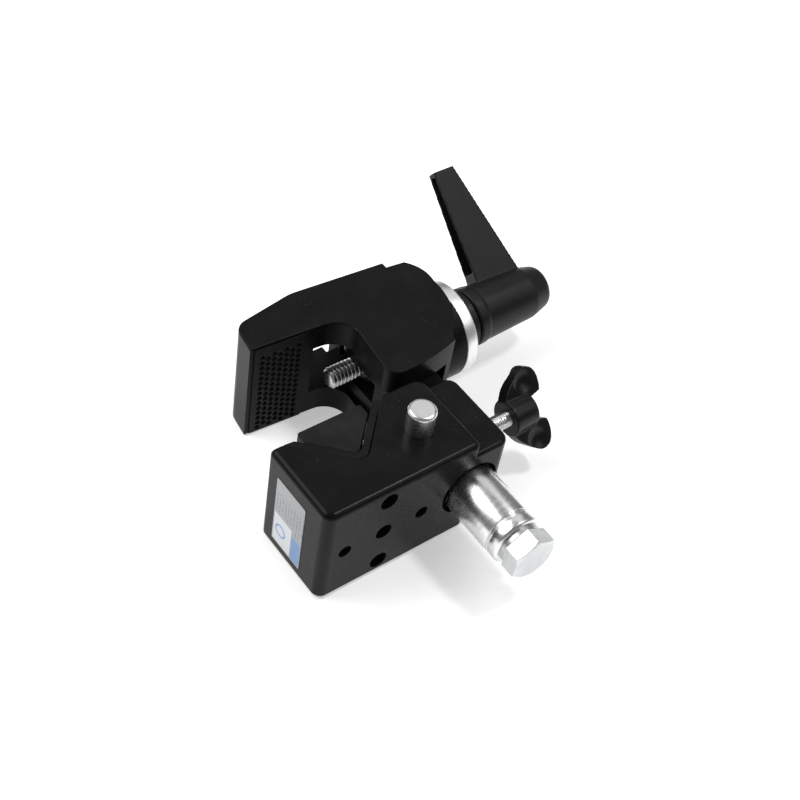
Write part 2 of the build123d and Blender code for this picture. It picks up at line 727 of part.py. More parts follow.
PIECES = [
    lower_body,
    v_liner,
    wedge_insert,
    safety_pin,
    safety_pin_spring,
    safety_pin_keeper,
    wing_screw_stud,
    wing_screw_head,
    spigot,
    spigot_lock_washer,
    spigot_bolt,
    hook_jaw,
    hook_pad,
    hinge_pin,
    trunnion_nut,
    clamp_spindle,
    thrust_washer,
    handle_collar,
    collar_dowel,
    lever,
    lever_screw,
    lever_spring,
    rating_label,
]
for piece in PIECES:
    export_step(piece.part, f"parts/{piece.part.label}.step")
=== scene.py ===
"""Super clamp: the visible pieces, their finishes and the stage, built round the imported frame."""

from math import ceil, cos, radians, sin, tau

import bmesh
import bpy
from mathutils import Matrix, Vector


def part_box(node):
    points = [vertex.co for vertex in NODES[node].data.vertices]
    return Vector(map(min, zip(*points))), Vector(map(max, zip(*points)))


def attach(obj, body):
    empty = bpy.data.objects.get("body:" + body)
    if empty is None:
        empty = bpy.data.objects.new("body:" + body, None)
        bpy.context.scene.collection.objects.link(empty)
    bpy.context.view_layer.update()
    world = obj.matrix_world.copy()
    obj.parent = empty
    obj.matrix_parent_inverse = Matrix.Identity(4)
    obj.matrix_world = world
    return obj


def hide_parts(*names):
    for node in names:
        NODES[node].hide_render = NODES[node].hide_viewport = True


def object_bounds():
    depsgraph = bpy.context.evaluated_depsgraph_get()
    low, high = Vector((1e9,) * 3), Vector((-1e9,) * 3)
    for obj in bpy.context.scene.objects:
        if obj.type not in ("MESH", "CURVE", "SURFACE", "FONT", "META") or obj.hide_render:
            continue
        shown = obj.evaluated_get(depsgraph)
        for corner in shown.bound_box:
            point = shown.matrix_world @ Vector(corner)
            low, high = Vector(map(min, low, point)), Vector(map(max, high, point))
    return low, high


bl_info = {
    "name": "Super Clamp",
    "version": (1, 0, 0),
    "blender": (4, 5, 0),
    "location": "3D View > Sidebar > Clamp",
    "description": "Builds a screw-operated super clamp with its finishes and stage",
    "category": "Object",
}

MM = 0.001

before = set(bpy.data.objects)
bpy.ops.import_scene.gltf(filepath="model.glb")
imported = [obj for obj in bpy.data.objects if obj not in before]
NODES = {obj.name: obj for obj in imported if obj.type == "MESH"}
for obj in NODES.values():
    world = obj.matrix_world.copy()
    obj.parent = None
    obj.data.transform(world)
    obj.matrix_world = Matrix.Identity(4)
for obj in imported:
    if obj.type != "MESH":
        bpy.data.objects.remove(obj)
CAD_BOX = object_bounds()
SPINDLE_Y = (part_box("thrust_washer")[0][1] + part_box("thrust_washer")[1][1]) / 2
WING_Y = (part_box("wing_screw_stud")[0][1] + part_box("wing_screw_stud")[1][1]) / 2

JAW_SLOPE = -0.07  # the jaw face's Y per unit of X
SHANK_START = 0.0285  # X where the spindle's thread ends, in metres
WASHER_BORE = 3.23  # millimetres
LINER_SEAM = 0.2  # millimetres that the piece is drawn in by
WEDGE_SEAM = 0.08
PAD_HALF_SPAN = 3.6  # dimple columns each side of the pad's middle
PAD_ROWS = (-0.0162, 0.0138)  # lowest and highest dimple, in metres
FLOOR_GLOW = 0.42
FLOOR_SIZE = 25.0
LIGHTS_AIM = (0.0, 0.035, 0.0)
LIGHTS = (  # name, place, size in metres, share of the key light's power
    ("key_light", (-0.46, 0.52, 0.74), 0.75, 1.0),
    ("back_light", (0.5, 0.65, 0.85), 0.8, 0.17),
    ("fill_light", (0.52, -0.45, 0.75), 0.55, 0.2),
    ("rim_light", (0.42, -0.08, 0.9), 0.14, 0.4),
)
CAMERA_LENS = 66.45  # millimetres, on a 36 mm sensor
CAMERA_SENSOR = 36.0
CAMERA_PLACE = (-0.19784, -0.16842, 0.31228)
CAMERA_RIGHT = (0.7984, -0.5884, 0.1276)
CAMERA_BACK = (-0.4730, -0.4818, 0.7376)


# ---------------------------------------------------------------- settings


class ClampCoatSettings(bpy.types.PropertyGroup):
    """Colours and gloss of the clamp's coats."""

    enamel: bpy.props.FloatVectorProperty(
        name="Enamel", description="Colour of the castings' enamel",
        subtype="COLOR", size=3, min=0, max=1, default=(0.0045, 0.0047, 0.0046),
    )
    enamel_roughness: bpy.props.FloatProperty(
        name="Enamel roughness", description="Roughness of the castings' enamel",
        subtype="FACTOR", min=0, max=1, default=0.27,
    )
    satin: bpy.props.FloatVectorProperty(
        name="Satin coat", description="Colour of the lever's and collar's satin coat",
        subtype="COLOR", size=3, min=0, max=1, default=(0.0065, 0.0068, 0.0067),
    )
    rubber: bpy.props.FloatVectorProperty(
        name="Rubber", description="Colour of the liner and the pad",
        subtype="COLOR", size=3, min=0, max=1, default=(0.0035, 0.0036, 0.004),
    )
    wedge: bpy.props.FloatVectorProperty(
        name="Wedge", description="Colour of the wedge's plastic",
        subtype="COLOR", size=3, min=0, max=1, default=(0.0085, 0.009, 0.0088),
    )
    wing: bpy.props.FloatVectorProperty(
        name="Wing head", description="Colour of the wing screw's moulded head",
        subtype="COLOR", size=3, min=0, max=1, default=(0.0045, 0.0046, 0.0046),
    )


class ClampThreadSettings(bpy.types.PropertyGroup):
    """Sizes of the rolled threads."""

    spindle_pitch: bpy.props.FloatProperty(
        name="Spindle pitch", description="Distance between the spindle's thread crests",
        subtype="DISTANCE", unit="LENGTH", min=0.0005, max=0.003, default=0.00127,
    )
    stud_pitch: bpy.props.FloatProperty(
        name="Stud pitch", description="Distance between the wing screw's thread crests",
        subtype="DISTANCE", unit="LENGTH", min=0.0004, max=0.002, default=0.0008,
    )
    depth: bpy.props.FloatProperty(
        name="Depth", description="Thread depth as a share of the pitch",
        subtype="FACTOR", min=0.1, max=0.8, default=0.56,
    )


class ClampPadSettings(bpy.types.PropertyGroup):
    """Dimples moulded in the hook's pad."""

    column_pitch: bpy.props.FloatProperty(
        name="Column pitch", description="Distance between columns of dimples",
        subtype="DISTANCE", unit="LENGTH", min=0.001, max=0.006, default=0.00195,
    )
    row_pitch: bpy.props.FloatProperty(
        name="Row pitch", description="Distance between dimples in a column",
        subtype="DISTANCE", unit="LENGTH", min=0.001, max=0.006, default=0.0021,
    )
    radius: bpy.props.FloatProperty(
        name="Dimple radius", description="Radius of one dimple's mouth",
        subtype="DISTANCE", unit="LENGTH", min=0.0003, max=0.003, default=0.00082,
    )
    depth: bpy.props.FloatProperty(
        name="Dimple depth", description="Depth of one dimple",
        subtype="DISTANCE", unit="LENGTH", min=0.0001, max=0.0012, default=0.0009,
    )


class ClampStageSettings(bpy.types.PropertyGroup):
    """Floor and light."""

    floor: bpy.props.FloatVectorProperty(
        name="Floor", description="Colour of the floor",
        subtype="COLOR", size=3, min=0, max=1, default=(0.93, 0.93, 0.93),
    )
    sky: bpy.props.FloatProperty(
        name="Sky", description="Strength of the even light all round",
        min=0, max=4, default=0.18,
    )
    key: bpy.props.FloatProperty(
        name="Key light", description="Power of the large soft light",
        subtype="POWER", unit="POWER", min=0, max=50, default=7.0,
    )


# ---------------------------------------------------------------- small tools


def put(mesh, name, body, nodes=(), sharp=40.0):
    """Links a mesh as a finished piece that rides on a body and may stand for CAD nodes."""
    piece = bpy.data.objects.new(name, mesh)
    bpy.context.scene.collection.objects.link(piece)
    mesh.name = name
    for face in mesh.polygons:
        face.use_smooth = True
    mesh.set_sharp_from_angle(angle=radians(sharp))
    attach(piece, body)
    if nodes:
        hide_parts(*nodes)
    return piece


def from_bmesh(build, name):
    """Turns a bmesh into a mesh with outward faces."""
    bmesh.ops.recalc_face_normals(build, faces=build.faces)
    mesh = bpy.data.meshes.new(name)
    build.to_mesh(mesh)
    build.free()
    return mesh


def casting_copy(node, flat=1.0):
    """A merged copy of a CAD node, with its flat faces whole again."""
    build = bmesh.new()
    build.from_mesh(NODES[node].data)
    bmesh.ops.remove_doubles(build, verts=build.verts, dist=2e-6)
    bmesh.ops.dissolve_limit(
        build, angle_limit=radians(flat), verts=build.verts, edges=build.edges
    )
    mesh = bpy.data.meshes.new(node + "_copy")
    build.to_mesh(mesh)
    build.free()
    return mesh


def shrunk(mesh, gap):
    """Draws a mesh's faces in by a gap in millimetres, so that a seam shows round the piece."""
    build = bmesh.new()
    build.from_mesh(mesh)
    bmesh.ops.recalc_face_normals(build, faces=build.faces)
    build.normal_update()
    moves = []
    for vert in build.verts:
        planes = []
        for face in vert.link_faces:
            if all(face.normal.dot(seen) < 0.98 for seen in planes):
                planes.append(face.normal.copy())
        moves.append((vert, -sum(planes, Vector()) * gap * MM if len(planes) < 4
                      else -vert.normal * gap * MM))
    for vert, move in moves:
        vert.co += move
    build.to_mesh(mesh)
    build.free()
    return mesh


def round_edges(piece, width, angle=32.0, segments=3):
    """Rounds a piece's sharp edges and keeps its flat faces flat in the light."""
    bevel = piece.modifiers.new("rounded edges", "BEVEL")
    bevel.width = width * MM
    bevel.segments = segments
    bevel.limit_method = "ANGLE"
    bevel.angle_limit = radians(angle)
    bevel.miter_outer = "MITER_ARC"
    bevel.use_clamp_overlap = True
    weighted = piece.modifiers.new("even shading", "WEIGHTED_NORMAL")
    weighted.keep_sharp = True
    weighted.weight = 80


def settle(piece):
    """Applies a piece's modifiers, so that its mesh is what shows."""
    bpy.context.view_layer.update()
    solid = bpy.data.meshes.new_from_object(
        piece.evaluated_get(bpy.context.evaluated_depsgraph_get())
    )
    solid.name = piece.name
    piece.modifiers.clear()
    piece.data = solid
    return piece


def lathe(rings, centre, axis, steps=96):
    """A turned solid: rings are (distance along the axis, radius) in millimetres."""
    along = Vector(axis).normalized()
    side = along.orthogonal().normalized()
    other = along.cross(side)
    build = bmesh.new()
    loops = []
    for reach, radius in rings:
        middle = Vector(centre) + along * reach
        if radius <= 0:
            loops.append([build.verts.new(middle * MM)])
            continue
        loops.append(
            [
                build.verts.new(
                    (middle + radius * (cos(tau * k / steps) * side + sin(tau * k / steps) * other)) * MM
                )
                for k in range(steps)
            ]
        )
    for low, high in zip(loops, loops[1:]):
        for k in range(steps):
            n = (k + 1) % steps
            if len(low) == 1 and len(high) > 1:
                build.faces.new((low[0], high[k], high[n]))
            elif len(high) == 1 and len(low) > 1:
                build.faces.new((low[k], high[0], low[n]))
            elif len(low) > 1:
                build.faces.new((low[k], high[k], high[n], low[n]))
    return build


def rounded(rings, radius, steps=4):
    """Rounds the inner corners of a turned profile by a small radius."""
    soft = [rings[0]]
    for before, corner, after in zip(rings, rings[1:], rings[2:]):
        a = Vector(before) - Vector(corner)
        b = Vector(after) - Vector(corner)
        if a.length < 1e-6 or b.length < 1e-6:
            continue
        r = min(radius, a.length * 0.45, b.length * 0.45)
        start = Vector(corner) + a.normalized() * r
        stop = Vector(corner) + b.normalized() * r
        for k in range(steps + 1):
            t = k / steps
            point = start * (1 - t) ** 2 + Vector(corner) * 2 * t * (1 - t) + stop * t * t
            soft.append((point[0], point[1]))
    soft.append(rings[-1])
    return soft


# ---------------------------------------------------------------- shader effects


def effect(name, inputs, outputs):
    """A new shader node group with its sockets, its input and its output node."""
    tree = bpy.data.node_groups.new(name, "ShaderNodeTree")
    for label, kind, default in inputs:
        socket = tree.interface.new_socket(label, in_out="INPUT", socket_type=kind)
        if default is not None:
            socket.default_value = default
    for label, kind in outputs:
        tree.interface.new_socket(label, in_out="OUTPUT", socket_type=kind)
    return tree, tree.nodes.new("NodeGroupInput"), tree.nodes.new("NodeGroupOutput")


def mix_of(tree, low, high, factor):
    """A colour mix node in a tree."""
    node = tree.nodes.new("ShaderNodeMix")
    node.data_type = "RGBA"
    tree.links.new(factor, node.inputs[0])
    for socket, value in ((node.inputs[6], low), (node.inputs[7], high)):
        if isinstance(value, bpy.types.NodeSocket):
            tree.links.new(value, socket)
        else:
            socket.default_value = value
    return node.outputs[2]


def noise_of(tree, where, scale, detail=2.0, rough=0.5):
    """A noise texture node in a tree, read at a position."""
    node = tree.nodes.new("ShaderNodeTexNoise")
    tree.links.new(where, node.inputs["Vector"])
    if isinstance(scale, bpy.types.NodeSocket):
        tree.links.new(scale, node.inputs["Scale"])
    else:
        node.inputs["Scale"].default_value = scale
    node.inputs["Detail"].default_value = detail
    node.inputs["Roughness"].default_value = rough
    return node.outputs["Fac"]


def ramp_of(tree, value, low, high, out_low=0.0, out_high=1.0):
    """Maps a value between two limits."""
    node = tree.nodes.new("ShaderNodeMapRange")
    node.clamp = True
    tree.links.new(value, node.inputs["Value"])
    for label, number in (
        ("From Min", low), ("From Max", high), ("To Min", out_low), ("To Max", out_high)
    ):
        if isinstance(number, bpy.types.NodeSocket):
            tree.links.new(number, node.inputs[label])
        else:
            node.inputs[label].default_value = number
    return node.outputs["Result"]


def maths(tree, operation, *values):
    """A maths node with its values linked or set."""
    node = tree.nodes.new("ShaderNodeMath")
    node.operation = operation
    for socket, value in zip(node.inputs, values):
        if isinstance(value, bpy.types.NodeSocket):
            tree.links.new(value, socket)
        else:
            socket.default_value = value
    return node.outputs[0]


def coat_texture():
    """Fine orange peel and a few settled dust specks of a sprayed or baked coat."""
    tree, start, end = effect(
        "coat_texture",
        [("Position", "NodeSocketVector", None), ("Peel size", "NodeSocketFloat", 900.0),
         ("Dust", "NodeSocketFloat", 0.5)],
        [("Height", "NodeSocketFloat"), ("Cloud", "NodeSocketFloat"), ("Specks", "NodeSocketFloat")],
    )
    where = start.outputs["Position"]
    peel = noise_of(tree, where, start.outputs["Peel size"], 2.0, 0.55)
    tree.links.new(peel, end.inputs["Height"])
    cloud = noise_of(tree, where, 95.0, 3.0, 0.6)
    tree.links.new(ramp_of(tree, cloud, 0.35, 0.7), end.inputs["Cloud"])
    dots = tree.nodes.new("ShaderNodeTexVoronoi")
    tree.links.new(where, dots.inputs["Vector"])
    dots.inputs["Scale"].default_value = 620.0
    small = ramp_of(tree, dots.outputs["Distance"], 0.0, 0.16, 1.0, 0.0)
    rare = ramp_of(tree, noise_of(tree, where, 240.0, 1.0), 0.56, 0.66)
    specks = maths(tree, "MULTIPLY", small, rare)
    tree.links.new(maths(tree, "MULTIPLY", specks, start.outputs["Dust"]), end.inputs["Specks"])
    return tree


def turned_lines():
    """Fine rings that a lathe leaves round an axis, read from the distance along it."""
    tree, start, end = effect(
        "turned_lines",
        [("Along", "NodeSocketFloat", None), ("Position", "NodeSocketVector", None),
         ("Rings", "NodeSocketFloat", 9000.0)],
        [("Height", "NodeSocketFloat"), ("Streak", "NodeSocketFloat")],
    )
    line = tree.nodes.new("ShaderNodeCombineXYZ")
    tree.links.new(start.outputs["Along"], line.inputs["X"])
    fine = noise_of(tree, line.outputs[0], start.outputs["Rings"], 3.0, 0.6)
    tree.links.new(fine, end.inputs["Height"])
    broad = noise_of(tree, line.outputs[0], 900.0, 4.0, 0.65)
    blotch = noise_of(tree, start.outputs["Position"], 320.0, 3.0, 0.6)
    both = maths(tree, "ADD", maths(tree, "MULTIPLY", broad, 0.6), maths(tree, "MULTIPLY", blotch, 0.4))
    tree.links.new(ramp_of(tree, both, 0.35, 0.65), end.inputs["Streak"])
    return tree


def rubber_grain():
    """Soft blotches and a fine matte grain."""
    tree, start, end = effect(
        "rubber_grain",
        [("Position", "NodeSocketVector", None), ("Grain", "NodeSocketFloat", 2600.0)],
        [("Height", "NodeSocketFloat"), ("Bloom", "NodeSocketFloat")],
    )
    fine = noise_of(tree, start.outputs["Position"], start.outputs["Grain"], 2.0, 0.7)
    tree.links.new(fine, end.inputs["Height"])
    bloom = noise_of(tree, start.outputs["Position"], 150.0, 4.0, 0.65)
    tree.links.new(ramp_of(tree, bloom, 0.4, 0.75), end.inputs["Bloom"])
    return tree


EFFECTS = {}


def effect_node(tree, name):
    """Places one of the shared effects in a material's tree."""
    makers = {"coat": coat_texture, "turned": turned_lines, "rubber": rubber_grain}
    if name not in EFFECTS:
        EFFECTS[name] = makers[name]()
    node = tree.nodes.new("ShaderNodeGroup")
    node.node_tree = EFFECTS[name]
    return node


FINISHES = {}


def new_finish(name, roughness, metallic=0.0, coat=0.0, specular=0.5, coat_roughness=0.1):
    """A fresh material: (material, tree, Principled node, Object coordinates)."""
    material = bpy.data.materials.new(name)
    material.use_nodes = True
    tree = material.node_tree
    shader = tree.nodes["Principled BSDF"]
    shader.inputs["Roughness"].default_value = roughness
    shader.inputs["Metallic"].default_value = metallic
    shader.inputs["Coat Weight"].default_value = coat
    shader.inputs["Coat Roughness"].default_value = coat_roughness
    shader.inputs["Specular IOR Level"].default_value = specular
    where = tree.nodes.new("ShaderNodeTexCoord").outputs["Object"]
    return material, tree, shader, where


def bump_of(tree, shader, height, strength, distance):
    """Feeds a height through a Bump node into the shader's normal."""
    bump = tree.nodes.new("ShaderNodeBump")
    bump.inputs["Strength"].default_value = strength
    bump.inputs["Distance"].default_value = distance * MM
    tree.links.new(height, bump.inputs["Height"])
    tree.links.new(bump.outputs["Normal"], shader.inputs["Normal"])
    return bump


def coat_finish(name, colour, roughness, peel, bump, dust, coat=0.0, specular=0.5, spread=0.06):
    """An even dark coat with orange peel, faint clouding and dust."""
    material, tree, shader, where = new_finish(name, roughness, coat=coat, specular=specular)
    group = effect_node(tree, "coat")
    tree.links.new(where, group.inputs["Position"])
    group.inputs["Peel size"].default_value = peel
    group.inputs["Dust"].default_value = dust
    bright = [min(1.0, c * 1.5 + 0.002) for c in colour]
    base = mix_of(tree, (*colour, 1), (*bright, 1), group.outputs["Cloud"])
    base = mix_of(tree, base, (0.16, 0.16, 0.15, 1), group.outputs["Specks"])
    tree.links.new(base, shader.inputs["Base Color"])
    rough = ramp_of(tree, group.outputs["Cloud"], 0, 1, roughness - spread / 2, roughness + spread / 2)
    tree.links.new(rough, shader.inputs["Roughness"])
    bump_of(tree, shader, group.outputs["Height"], bump, 0.05)
    return material


def metal_finish(name, colour, roughness, axis, rings=9000.0, bump=0.12, spread=0.1):
    """Bright metal with turned rings along an axis: 0, 1 or 2 for X, Y or Z."""
    material, tree, shader, where = new_finish(name, roughness, metallic=1.0)
    split = tree.nodes.new("ShaderNodeSeparateXYZ")
    tree.links.new(where, split.inputs[0])
    group = effect_node(tree, "turned")
    tree.links.new(split.outputs[axis], group.inputs["Along"])
    tree.links.new(where, group.inputs["Position"])
    group.inputs["Rings"].default_value = rings
    dark = [c * 0.82 for c in colour]
    base = mix_of(tree, (*dark, 1), (*colour, 1), group.outputs["Streak"])
    tree.links.new(base, shader.inputs["Base Color"])
    rough = ramp_of(tree, group.outputs["Streak"], 0, 1, roughness + spread, roughness)
    tree.links.new(rough, shader.inputs["Roughness"])
    bump_of(tree, shader, group.outputs["Height"], bump, 0.02)
    return material


def rubber_finish(name, colour, roughness, grain, bump):
    """Matte rubber or plastic with a fine grain and a faint bloom."""
    material, tree, shader, where = new_finish(name, roughness, specular=0.15)
    group = effect_node(tree, "rubber")
    tree.links.new(where, group.inputs["Position"])
    group.inputs["Grain"].default_value = grain
    bright = [c * 1.9 + 0.003 for c in colour]
    base = mix_of(tree, (*colour, 1), (*bright, 1), group.outputs["Bloom"])
    tree.links.new(base, shader.inputs["Base Color"])
    rough = ramp_of(tree, group.outputs["Bloom"], 0, 1, roughness, min(1.0, roughness + 0.12))
    tree.links.new(rough, shader.inputs["Roughness"])
    bump_of(tree, shader, group.outputs["Height"], bump, 0.04)
    return material


def label_finish():
    """Printed film: a grey field with thin rules above, white below, and a pale blue band."""
    material, tree, shader, where = new_finish("label_film", 0.28, coat=0.3)
    split = tree.nodes.new("ShaderNodeSeparateXYZ")
    tree.links.new(where, split.inputs[0])
    across, height = split.outputs[1], split.outputs[2]
    low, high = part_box("rating_label")
    step = 0.00012

    def between(value, start, stop):
        """1 where the value lies between two limits, with a hair's fade."""
        return maths(
            tree, "MULTIPLY",
            ramp_of(tree, value, start - step, start + step),
            ramp_of(tree, value, stop - step, stop + step, 1.0, 0.0),
        )

    column = low[1] + 0.0046
    field_top = low[2] + 0.0118
    rules = ramp_of(tree, maths(tree, "SINE", maths(tree, "MULTIPLY", across, tau / 0.0013)), 0.55, 0.8)
    broken = ramp_of(tree, noise_of(tree, where, 1500.0, 1.0), 0.42, 0.5)
    rules = maths(tree, "MULTIPLY", rules, broken)
    field = maths(tree, "ADD",
                  between(height, field_top + 0.0012, high[2] - 0.0045),
                  maths(tree, "MULTIPLY", between(height, low[2] + 0.0105, field_top + 0.0008),
                        between(across, low[1] + 0.0006, column - 0.0006)))
    grey = mix_of(tree, (0.30, 0.31, 0.32, 1), (0.12, 0.12, 0.13, 1),
                  maths(tree, "MULTIPLY", rules, field))
    panel = maths(tree, "MULTIPLY", between(height, low[2] + 0.0004, field_top),
                  between(across, column, high[1] - 0.0004))
    base = mix_of(tree, grey, (0.66, 0.68, 0.70, 1), panel)
    band = maths(tree, "MULTIPLY", between(height, low[2] + 0.0004, low[2] + 0.0098),
                 between(across, low[1] + 0.0004, column - 0.0004))
    base = mix_of(tree, base, (0.08, 0.24, 0.52, 1), band)
    side = maths(tree, "SUBTRACT", across, (column + high[1]) / 2 + 0.0006)
    rise = maths(tree, "SUBTRACT", height, low[2] + 0.0062)
    away = maths(tree, "SQRT", maths(tree, "ADD", maths(tree, "MULTIPLY", side, side),
                                     maths(tree, "MULTIPLY", rise, rise)))
    base = mix_of(tree, base, (0.14, 0.30, 0.62, 1), between(away, 0.0017, 0.0024))
    noise = noise_of(tree, where, 900.0, 2.0)
    base = mix_of(tree, base, (0.5, 0.55, 0.6, 1), ramp_of(tree, noise, 0.55, 0.9, 0.0, 0.25))
    tree.links.new(base, shader.inputs["Base Color"])
    bump_of(tree, shader, noise, 0.08, 0.03)
    return material


def finish(name):
    """One of the clamp's finishes, made when it is first asked for."""
    if name in FINISHES:
        return FINISHES[name]
    coats = bpy.context.scene.clamp_coats
    steel = (0.83, 0.83, 0.84)
    makers = {
        "enamel": lambda: coat_finish("black_enamel", coats.enamel, coats.enamel_roughness, 1500.0,
                                      0.3, 0.5, specular=0.095),
        "hook_enamel": lambda: coat_finish("hook_enamel", coats.enamel, 0.34, 1500.0, 0.25, 0.4,
                                           specular=0.095),
        "satin": lambda: coat_finish("lever_satin", coats.satin, 0.4, 2200.0, 0.2, 0.2, specular=0.2),
        "wing": lambda: coat_finish("wing_plastic", coats.wing, 0.3, 1500.0, 0.12, 0.15, specular=0.22),
        "rubber": lambda: rubber_finish("black_rubber", coats.rubber, 0.6, 2600.0, 0.35),
        "pad": lambda: rubber_finish("pad_rubber", coats.rubber, 0.5, 3000.0, 0.25),
        "wedge": lambda: rubber_finish("wedge_plastic", coats.wedge, 0.52, 2200.0, 0.3),
        "spigot": lambda: metal_finish("spigot_turned", (0.88, 0.88, 0.88), 0.2, 1, 7000.0, 0.2, 0.12),
        "bolt": lambda: metal_finish("bolt_plated", (0.74, 0.76, 0.77), 0.26, 1, 2500.0, 0.08),
        "plunger": lambda: metal_finish("plunger_plated", (0.86, 0.86, 0.86), 0.24, 2, 6000.0, 0.1),
        "washer": lambda: metal_finish("washer_bright", (0.9, 0.9, 0.9), 0.3, 0, 7000.0, 0.15),
        "spindle": lambda: metal_finish("spindle_zinc", (0.62, 0.62, 0.61), 0.26, 0, 5000.0, 0.03, 0.05),
        "stud": lambda: metal_finish("stud_zinc", steel, 0.28, 0, 5000.0, 0.03, 0.05),
        "pin_steel": lambda: metal_finish("pin_steel", (0.62, 0.62, 0.63), 0.3, 2, 4000.0, 0.1),
        "spring": lambda: metal_finish("spring_steel", (0.5, 0.5, 0.5), 0.32, 2, 4000.0, 0.08),
        "label": label_finish,
    }
    FINISHES[name] = makers[name]()
    return FINISHES[name]


def dress(piece, name):
    """Gives a piece or a CAD node one finish in every slot."""
    piece.data.materials.clear()
    piece.data.materials.append(finish(name))
    return piece


# ---------------------------------------------------------------- geometry node trees


def socket_ids(tree):
    """The identifiers of a tree's named inputs."""
    return {
        item.name: item.identifier
        for item in tree.interface.items_tree
        if item.item_type == "SOCKET" and item.in_out == "INPUT"
    }


def geometry_tree(name, inputs):
    """A new geometry tree with named inputs, its input node and its output node."""
    tree = bpy.data.node_groups.new(name, "GeometryNodeTree")
    for label, kind, default in inputs:
        socket = tree.interface.new_socket(label, in_out="INPUT", socket_type=kind)
        if default is not None:
            socket.default_value = default
    tree.interface.new_socket("Geometry", in_out="OUTPUT", socket_type="NodeSocketGeometry")
    return tree, tree.nodes.new("NodeGroupInput"), tree.nodes.new("NodeGroupOutput")


def end_tree(tree, geometry, material, end):
    """Closes a tree with Realize Instances and Set Material."""
    whole = tree.nodes.new("GeometryNodeRealizeInstances")
    dressed = tree.nodes.new("GeometryNodeSetMaterial")
    tree.links.new(geometry, whole.inputs[0])
    tree.links.new(whole.outputs[0], dressed.inputs["Geometry"])
    tree.links.new(material, dressed.inputs["Material"])
    tree.links.new(dressed.outputs[0], end.inputs["Geometry"])


def thread_tree():
    """A right-hand thread along X: a grid wound round its axis, its radius a ridge that climbs."""
    tree, start, end = geometry_tree(
        "rolled_thread",
        [("Start", "NodeSocketFloat", 0.0), ("Length", "NodeSocketFloat", 0.02),
         ("Axis Y", "NodeSocketFloat", 0.0), ("Crest radius", "NodeSocketFloat", 0.003),
         ("Depth", "NodeSocketFloat", 0.0007), ("Pitch", "NodeSocketFloat", 0.00127),
         ("Tip taper", "NodeSocketFloat", 0.0008), ("Rows", "NodeSocketInt", 200),
         ("Around", "NodeSocketInt", 49), ("Material", "NodeSocketMaterial", None)],
    )
    given = start.outputs
    grid = tree.nodes.new("GeometryNodeMeshGrid")
    tree.links.new(given["Length"], grid.inputs["Size X"])
    grid.inputs["Size Y"].default_value = 1.0
    tree.links.new(given["Rows"], grid.inputs["Vertices X"])
    tree.links.new(given["Around"], grid.inputs["Vertices Y"])
    split = tree.nodes.new("ShaderNodeSeparateXYZ")
    tree.links.new(tree.nodes.new("GeometryNodeInputPosition").outputs[0], split.inputs[0])
    along = maths(tree, "ADD", split.outputs[0], maths(tree, "MULTIPLY", given["Length"], 0.5))
    turn = split.outputs[1]
    turns = maths(tree, "DIVIDE", along, given["Pitch"])
    phase = maths(tree, "FRACT", maths(tree, "SUBTRACT", turns, turn))
    ridge = maths(tree, "MULTIPLY", maths(tree, "ABSOLUTE", maths(tree, "SUBTRACT", phase, 0.5)), 2.0)
    ridge = ramp_of(tree, ridge, 0.14, 0.8)
    shallow = maths(tree, "MULTIPLY", maths(tree, "SUBTRACT", 1.0, ridge), given["Depth"])
    radius = maths(tree, "SUBTRACT", given["Crest radius"], shallow)
    cone = maths(
        tree, "ADD",
        maths(tree, "SUBTRACT", given["Crest radius"], given["Tip taper"]), along,
    )
    radius = maths(tree, "MINIMUM", radius, cone)
    angle = maths(tree, "MULTIPLY", turn, tau)
    joined = tree.nodes.new("ShaderNodeCombineXYZ")
    tree.links.new(maths(tree, "ADD", along, given["Start"]), joined.inputs[0])
    across = maths(tree, "MULTIPLY", radius, maths(tree, "COSINE", angle))
    tree.links.new(maths(tree, "ADD", across, given["Axis Y"]), joined.inputs[1])
    tree.links.new(maths(tree, "MULTIPLY", radius, maths(tree, "SINE", angle)), joined.inputs[2])
    wound = tree.nodes.new("GeometryNodeSetPosition")
    tree.links.new(grid.outputs["Mesh"], wound.inputs["Geometry"])
    tree.links.new(joined.outputs[0], wound.inputs["Position"])
    seam = tree.nodes.new("GeometryNodeMergeByDistance")
    seam.inputs["Distance"].default_value = 2e-6
    tree.links.new(wound.outputs[0], seam.inputs["Geometry"])
    end_tree(tree, seam.outputs[0], given["Material"], end)
    return tree


